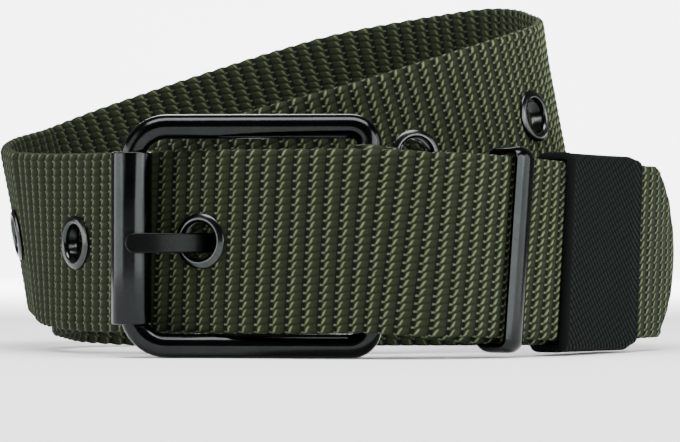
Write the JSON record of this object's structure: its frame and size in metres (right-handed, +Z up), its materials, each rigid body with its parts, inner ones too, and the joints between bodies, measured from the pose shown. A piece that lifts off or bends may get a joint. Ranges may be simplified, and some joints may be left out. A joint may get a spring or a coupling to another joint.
{
  "type": "canvas web belt",
  "caption": "Fastened webbing belt with a roller buckle, eyelets and keepers, wound in two turns and standing on its edge.",
  "frame": {"origin": "on the floor at the middle of the belt's plan box", "axes": "+X to the right seen from the buckle side, +Y away from the buckle, +Z up"},
  "size_m": [0.153, 0.1319, 0.0801],
  "materials": {
    "webbing": "ribbed olive webbing",
    "gunmetal": "glossy gunmetal plate",
    "eyelet_metal": "glossy gunmetal plate",
    "elastic": "matt black elastic"
  },
  "bodies": {
    "belt": {"webbing_strap": "webbing", "buckle_frame": "gunmetal", "buckle_prong": "gunmetal", "metal_keeper": "gunmetal", "elastic_keeper": "elastic", "eyelet_01": "eyelet_metal", "eyelet_02": "eyelet_metal", "eyelet_03": "eyelet_metal", "eyelet_04": "eyelet_metal", "eyelet_05": "eyelet_metal", "eyelet_06": "eyelet_metal", "eyelet_07": "eyelet_metal", "eyelet_08": "eyelet_metal", "eyelet_09": "eyelet_metal", "eyelet_10": "eyelet_metal", "eyelet_11": "eyelet_metal", "eyelet_12": "eyelet_metal", "eyelet_13": "eyelet_metal", "eyelet_14": "eyelet_metal", "eyelet_15": "eyelet_metal", "eyelet_16": "eyelet_metal"},
    "roller": {"buckle_roller": "gunmetal"}
  },
  "joints": [
    {"name": "roller_spin", "type": "hinge", "parent": "belt", "child": "roller", "pos_m": [-0.0426, -0.0542, 0.025], "axis": [0, 0, 1], "continuous": true}
  ]
}
